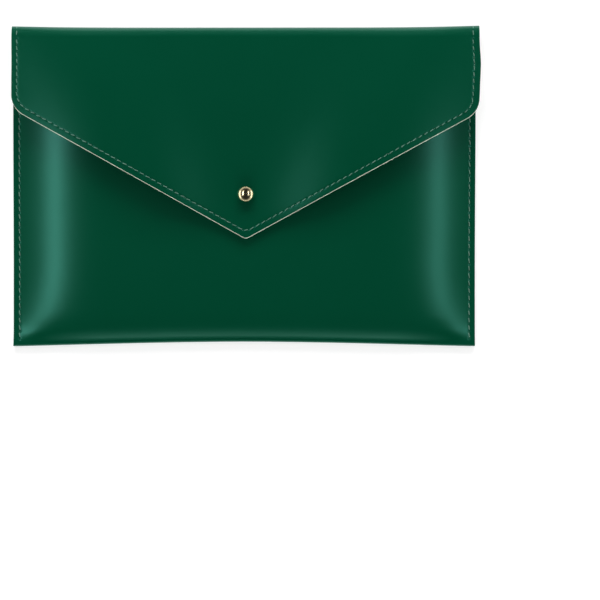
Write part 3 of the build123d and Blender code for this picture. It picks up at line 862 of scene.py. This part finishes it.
    def dents():
        line = 0.03 * np.exp(-((D - FLAP_SEAM_IN) / 0.45) ** 2)
        k = np.clip(np.round((LL - FLAP_HOLES[0]) / (FLAP_HOLES[1] - FLAP_HOLES[0])), 0, n_holes - 1)
        dl = LL - (FLAP_HOLES[0] + k * (FLAP_HOLES[1] - FLAP_HOLES[0]))
        return line + 0.40 * np.exp(-((D - FLAP_SEAM_IN) ** 2 + dl ** 2) / 0.40 ** 2)

    e_out = h0 + np.maximum(rounding(D, r_out), rounding(H, r_out))
    e_in = h1 - np.maximum(rounding(D, 0.12), rounding(H, 0.12))
    if detail:
        e_out = e_out + dents()
    if dent_in:
        e_in = e_in - dents()
    zt = flap_z(P[:, 0], P[:, 1]) + SHEET - e_out
    zb = flap_z(P[:, 0], P[:, 1]) + SHEET - e_in
    verts = np.vstack([np.column_stack([P, zt]), np.column_stack([P, zb])])
    uv = np.vstack([np.column_stack([P[:, 0], FLAP_RUN0 + (SPLIT - P[:, 1])])] * 2)
    low = [[i + n for i in f][::-1] for f in faces]
    walls = []
    rim = [int(i) for i in g.idx[0] if i >= 0]
    walls += bridge(rim, [i + n for i in rim], flip=True)
    hole0 = [base + k for k in range(nh)] + [base]
    walls += bridge(hole0, [i + n for i in hole0], flip=False)
    # the end that meets the fold
    first = [int(g.idx[c, 0]) for c in range(len(ds))]
    last = [int(g.idx[c, -1]) for c in range(len(ds))]
    end = first + list(range(base2, base2 + len(top_line)))[::-1] + last[::-1]
    walls += bridge(end, [i + n for i in end], flip=False)
    ob = make(name, verts, faces + low + walls, [mat], uv=uv)
    return ob


flap_skin = flap_layer("leather_flap", 0.0, SKIN, 0.28, 0.02, 0.0, green, True, 0.22)
flap_core = flap_layer("interlining_flap", SKIN - 0.22, SKIN + CORE + 0.01, 0.0, 0.10, 0.05, cream, False, 0.16)
flap_lining = flap_layer("lining_flap", SKIN + CORE, SHEET, 0.03, 0.03, 0.02, green_back, True, 0.03, dent_in=True)


# ================================================================ stitches
def stitches(name, paths, mat, radius=0.25, sides=8, weights=None):
    """Each path is a list of points along one stitch; the thread is swept along it and closed at its ends."""
    V, F, U = [], [], []
    W = []
    ring = np.linspace(0, 2 * math.pi, sides, endpoint=False)
    for si, path in enumerate(paths):
        p = np.asarray(path, float)
        t = np.gradient(p, axis=0)
        t /= np.linalg.norm(t, axis=1)[:, None]
        up = np.array([0.0, 0.0, 1.0]) if abs(t[len(t) // 2][2]) < 0.8 else np.array([0.0, 1.0, 0.0])
        length = np.concatenate([[0], np.cumsum(np.linalg.norm(np.diff(p, axis=0), axis=1))])
        base = len(V)
        for i in range(len(p)):
            s = np.cross(t[i], up)
            s /= np.linalg.norm(s)
            n = np.cross(s, t[i])
            r = radius * (0.75 if i in (0, len(p) - 1) else 1.0)
            for a in ring:
                V.append(p[i] + r * (1.08 * math.cos(a) * s + 0.92 * math.sin(a) * n))
                U.append((length[i] * 1.0 + si * 0.37, a / (2 * math.pi) * 1.6))
                if weights is not None:
                    W.append(weights[si][i])
        for i in range(len(p) - 1):
            for k in range(sides):
                a, b = base + i * sides + k, base + i * sides + (k + 1) % sides
                F.append([a, b, b + sides, a + sides])
        F.append([base + k for k in range(sides)][::-1])
        F.append([base + (len(p) - 1) * sides + k for k in range(sides)])
    ob = make(name, np.array(V), F, [mat], uv=np.array(U))
    return (ob, np.array(W)) if weights is not None else ob


def arc_profile(n=13, rise=0.15, sink=0.42):
    t = np.linspace(-1, 1, n)
    t = np.sign(t) * np.abs(t) ** 0.8
    return t, -sink + (rise + sink) * (1 - np.abs(t) ** 5)


def stitch_on(surface, a, b, lean=0.0, rise=0.15, reach=0.60):
    """One stitch from a to b, both in the surface's own coordinates. surface(p) gives a point and a normal."""
    t, lift = arc_profile(rise=rise)
    a, b = np.asarray(a, float), np.asarray(b, float)
    d = b - a
    side = np.array([-d[1], d[0]]) / np.linalg.norm(d)
    out = []
    for ti, li in zip(t, lift):
        q = (a + b) / 2 + d * ti / 2 * reach + side * lean * ti
        p, n = surface(q)
        out.append(p + n * li)
    return out


def surface_of(fn):
    def at(q):
        e = 0.05
        p = fn(q[0], q[1])
        px = fn(q[0] + e, q[1])
        py = fn(q[0], q[1] + e)
        n = np.cross(px - p, py - p)
        return p, n / np.linalg.norm(n)
    return at


front_surface = surface_of(lambda x, y: np.array([float(widen(x, y)), y, float(front_z(x, y)) + SHEET]))
back_surface_raw = surface_of(lambda x, y: np.array([float(widen(x, y)), y, 0.0]))


def back_surface(q):
    p, n = back_surface_raw(q)
    return p + np.array([0, 0, 0.22]), -n


flap_top = surface_of(lambda x, y: np.array([x, y, float(flap_z(x, y)) + SHEET]))


def flap_under(q):
    e = surface_of(lambda x, y: np.array([x, y, float(flap_z(x, y))]))
    p, n = e(q)
    return p, -n


def jitter(scale):
    return float(rng.normal(0, scale))


for label, sx, sign in (("left", BODY_L + SEAM_IN[0], 1), ("right", BODY_R - SEAM_IN[1], -1)):
    paths = []
    for k in range(len(SIDE_HOLES) - 1):
        a, b = SIDE_HOLES[k], SIDE_HOLES[k + 1]
        j1 = jitter(0.02)
        paths.append(stitch_on(front_surface, (sx + j1, a), (sx + j1, b), lean=0.20 + jitter(0.02)))
        paths.append(stitch_on(back_surface, (sx + j1, a), (sx + j1, b), lean=-0.10 + jitter(0.02), rise=0.02))
    ob = stitches("side_thread_" + label, paths, thread, radius=0.215)
    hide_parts("side_stitching_" + label)
    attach(ob, "case")

# mouth seam, on the front and on its lining
mx = np.arange(-114.5, 114.6, 0.25)
my = mouth_y(mx) - MOUTH_SEAM_IN
ml = np.concatenate([[0], np.cumsum(np.hypot(np.diff(mx), np.diff(my)))])
marks = np.arange(0.3, ml[-1], FLAP_PITCH)
hx, hy = np.interp(marks, ml, mx), np.interp(marks, ml, my)
front_inner = surface_of(lambda x, y: np.array([float(widen(x, y)), y, float(front_z(x, y))]))


def front_under(q):
    p, n = front_inner(q)
    return p, -n


paths = []
for k in range(len(hx) - 1):
    a, b = (hx[k], hy[k]), (hx[k + 1], hy[k + 1])
    paths.append(stitch_on(front_surface, a, b, lean=0.08 + jitter(0.02)))
    paths.append(stitch_on(front_under, a, b, lean=0.05 + jitter(0.02)))
mouth_thread = stitches("mouth_thread", paths, thread, radius=0.185)
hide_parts("mouth_stitching")
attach(mouth_thread, "case")

# flap seam
paths = []
fx = np.interp(FLAP_HOLES, SEAM_LEN, SEAM_CURVE[:, 0])
fy = np.interp(FLAP_HOLES, SEAM_LEN, SEAM_CURVE[:, 1])
for k in range(n_holes - 1):
    a, b = (fx[k], fy[k]), (fx[k + 1], fy[k + 1])
    paths.append(stitch_on(flap_top, a, b, lean=0.17 + jitter(0.02)))
    paths.append(stitch_on(flap_under, a, b, lean=0.05 + jitter(0.02)))
flap_thread = stitches("flap_thread", paths, thread, radius=0.18)
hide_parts("flap_stitching")
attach(flap_thread, "flap")

# the same seam where it passes over the fold
paths, weights = [], []
for sgn in (-1, 1):
    side = 0 if sgn < 0 else 1
    x = sgn * (FOLD_HALF[side] - FLAP_SEAM_SIDE[side])
    p, inward, w, run = fold_curve(x)
    holes = np.linspace(0.4, run[-1] - 0.5, 5)
    for h, out in ((0.0, 1), (SHEET, -1)):
        for k in range(len(holes) - 1):
            t, lift = arc_profile()
            at = (holes[k] + holes[k + 1]) / 2 + (holes[k + 1] - holes[k]) / 2 * t * 0.70
            path, ws = [], []
            for r_, li in zip(at, lift):
                if h == 0.0:
                    # the back lies on the table: there the thread sinks into the leather
                    li = li - 0.45 * float(smooth((2.6 - np.interp(r_, run, p[:, 1])) / 2.6))
                q = [np.interp(r_, run, p[:, j] + inward[:, j] * (h - out * li)) for j in (0, 1)]
                path.append((x + 0.06 * sgn * (r_ - holes[k]), q[0], q[1]))
                ws.append(float(np.interp(r_, run, w)))
            paths.append(path)
            weights.append(ws)
fold_thread, w_thread = stitches("fold_thread", paths, thread, radius=0.18, weights=weights)

# ================================================================ stud
FRONT_TOP = float(front_z(0.0, STUD_Y)) + SHEET
COLLAR_R, COLLAR_T, NECK_R, BALL_R, BALL_Z, CAP_R, EDGE_R = 4.75, 0.5, 2.0, 4.15, 16.35, 5.02, 2.00


def lathe(name, profile, mat, n=96, cy=STUD_Y):
    V, F = [], []
    prof = np.asarray(profile, float)
    for i, (r, z) in enumerate(prof):
        for k in range(n):
            a = 2 * math.pi * k / n
            V.append((r * math.cos(a), cy + r * math.sin(a), z))
    m = len(prof)
    for i in range(m - 1):
        for k in range(n):
            a, b = i * n + k, i * n + (k + 1) % n
            F.append([a, b, b + n, a + n])
    V.append((0, cy, prof[0][1]))
    V.append((0, cy, prof[-1][1]))
    for k in range(n):
        F.append([len(V) - 2, (k + 1) % n, k])
        F.append([len(V) - 1, (m - 1) * n + k, (m - 1) * n + (k + 1) % n])
    return make(name, np.array(V), F, [mat])


def ball_profile():
    z0 = FRONT_TOP + 0.02
    pts = [(1.2, z0), (COLLAR_R - 0.35, z0), (COLLAR_R - 0.08, z0 + 0.06), (COLLAR_R, z0 + 0.18), (COLLAR_R - 0.06, z0 + 0.32),
           (COLLAR_R - 0.3, z0 + 0.44), (COLLAR_R - 0.7, z0 + COLLAR_T), (NECK_R + 0.8, z0 + COLLAR_T + 0.04),
           (NECK_R + 0.3, z0 + COLLAR_T + 0.16), (NECK_R + 0.05, z0 + COLLAR_T + 0.45), (NECK_R - 0.05, z0 + COLLAR_T + 0.8)]
    ex = BALL_R - EDGE_R
    turn = math.asin(ex / (CAP_R - EDGE_R))
    top = BALL_Z + EDGE_R * math.cos(turn) + CAP_R * (1 - math.cos(turn))
    pts.append((NECK_R - 0.02, BALL_Z - EDGE_R - 0.05))
    for i in range(29):
        a = math.pi - (math.pi - turn) * i / 28
        pts.append((ex + EDGE_R * math.sin(a), BALL_Z + EDGE_R * math.cos(a)))
    for i in range(1, 20):
        a = turn * (1 - i / 20)
        pts.append((CAP_R * math.sin(a), top - CAP_R * (1 - math.cos(a))))
    pts.append((0.05, top))
    return pts


stud = lathe("stud_ball", ball_profile(), gold)
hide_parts("stud_head")
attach(stud, "case")
screw = frame["nodes"]["stud_screw"] if isinstance(frame["nodes"], dict) else None
if screw is not None:
    screw.data.materials.clear()
    screw.data.materials.append(gold)

# ================================================================ what stands for what
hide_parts("case_leather")
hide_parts("case_interlining")
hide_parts("case_lining")
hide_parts("fold_leather")
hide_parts("fold_interlining")
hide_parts("fold_lining")
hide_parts("flap_leather")
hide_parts("flap_interlining")
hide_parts("flap_lining")
for ob in (case_skin, case_core, case_lining):
    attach(ob, "case")
for ob in (flap_skin, flap_core, flap_lining):
    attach(ob, "flap")
# the fold pieces get their world placement baked into the mesh; the turn weights computed for them are not used here
for ob, w in ((fold_skin, w_skin), (fold_core, w_core), (fold_lining, w_lining), (fold_thread, w_thread)):
    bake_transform(ob)

# ================================================================ floor, lights, camera
floor_mat, nt, b = material("pale_floor")
n = nt.nodes.new("ShaderNodeTexNoise")
n.inputs["Scale"].default_value = 3
c = ramp_node(nt, [(0.3, (0.56, 0.56, 0.56, 1)), (0.7, (0.59, 0.59, 0.59, 1))], n.outputs[0])
nt.links.new(c.outputs[0], b.inputs["Base Color"])
b.inputs["Emission Color"].default_value = (1, 1, 1, 1)
b.inputs["Emission Strength"].default_value = 0.56
b.inputs["Roughness"].default_value = 0.9
b.inputs["Specular IOR Level"].default_value = 0.1
S = 6000
floor = make("floor", [(-S, -S, 0), (S, -S, 0), (S, S, 0), (-S, S, 0)], [[0, 1, 2, 3]], [floor_mat], smooth_shade=False)
floor.location.z = -0.00005

world = bpy.data.worlds.new("studio")
scene.world = world
world.use_nodes = True
wt = world.node_tree
wt.nodes.clear()
wo = wt.nodes.new("ShaderNodeOutputWorld")
lit = wt.nodes.new("ShaderNodeBackground")
seen = wt.nodes.new("ShaderNodeBackground")
# a white tent whose walls are brighter than its roof
tc = wt.nodes.new("ShaderNodeTexCoord")
sep = wt.nodes.new("ShaderNodeSeparateXYZ")
wt.links.new(tc.outputs["Generated"], sep.inputs[0])
walls = ramp_node(wt, [(0.0, (1, 1, 1, 1)), (0.18, (0.85, 0.85, 0.85, 1)), (0.38, (0.12, 0.12, 0.12, 1)),
                       (0.58, (0.05, 0.05, 0.05, 1)), (1.0, (0.03, 0.03, 0.03, 1))], sep.outputs[2])
wt.links.new(walls.outputs[0], lit.inputs[0])
aside = wt.nodes.new("ShaderNodeMath")
aside.operation = "ABSOLUTE"
wt.links.new(sep.outputs[0], aside.inputs[0])
span = wt.nodes.new("ShaderNodeMapRange")
span.inputs["From Min"].default_value = 0.25
span.inputs["From Max"].default_value = 0.85
span.inputs["To Min"].default_value = 0.38
span.inputs["To Max"].default_value = 0.75
wt.links.new(aside.outputs[0], span.inputs["Value"])
wt.links.new(span.outputs[0], lit.inputs[1])
seen.inputs[0].default_value = (0.92, 0.92, 0.92, 1)
seen.inputs[1].default_value = 1.0
lp = wt.nodes.new("ShaderNodeLightPath")
mx_ = wt.nodes.new("ShaderNodeMixShader")
wt.links.new(lp.outputs["Is Camera Ray"], mx_.inputs[0])
wt.links.new(lit.outputs[0], mx_.inputs[1])
wt.links.new(seen.outputs[0], mx_.inputs[2])
wt.links.new(mx_.outputs[0], wo.inputs[0])


def area(name, pos, target, sx, sy, power, colour=(1, 1, 1)):
    d = bpy.data.lights.new(name, "AREA")
    d.shape = "RECTANGLE"
    d.size, d.size_y = sx, sy
    d.energy = power
    d.color = colour
    o = bpy.data.objects.new(name, d)
    scene.collection.objects.link(o)
    o.location = pos
    o.rotation_euler = (Vector(target) - Vector(pos)).to_track_quat("-Z", "Y").to_euler()
    o.visible_camera = False
    return o


# the key and the fill are cross-polarised: they light the leather without a reflection
key = area("softbox_top", (0.0, 2.1, 1.05), (0.0, 0.0, 0.0), 2.4, 1.0, 76)
fill = area("softbox_foot", (0.0, -2.3, 0.9), (0.0, 0.0, 0.0), 3.0, 1.2, 58)
key.visible_glossy = False
fill.visible_glossy = False
area("softbox_left", (-0.672, 0.27, 1.05), (0.0, 0.27, 0.0), 1.15, 0.15, 3.15)
area("softbox_right", (0.700, 0.27, 1.05), (0.0, 0.27, 0.0), 1.15, 0.14, 2.0)
# the white side walls
area("wall_left", (-1.60, -0.10, 0.40), (0.0, -0.10, 0.0), 2.2, 0.6, 4.5)
area("wall_right", (1.60, -0.10, 0.40), (0.0, -0.10, 0.0), 2.2, 0.6, 4.5)

cam_data = bpy.data.cameras.new("camera")
cam_data.lens = 300
cam_data.sensor_width = 36
cam_data.sensor_fit = "HORIZONTAL"
cam_data.dof.use_dof = False
cam = bpy.data.objects.new("camera", cam_data)
scene.collection.objects.link(cam)
WIDTH = 0.312
PX = WIDTH / 600
cam.location = ((300 - 246.0) * PX, -(300 - 186.32) * PX, WIDTH * 300 / 36 + 0.002)
cam.rotation_euler = (0, 0, 0)
cam_data.clip_end = 20
scene.camera = cam

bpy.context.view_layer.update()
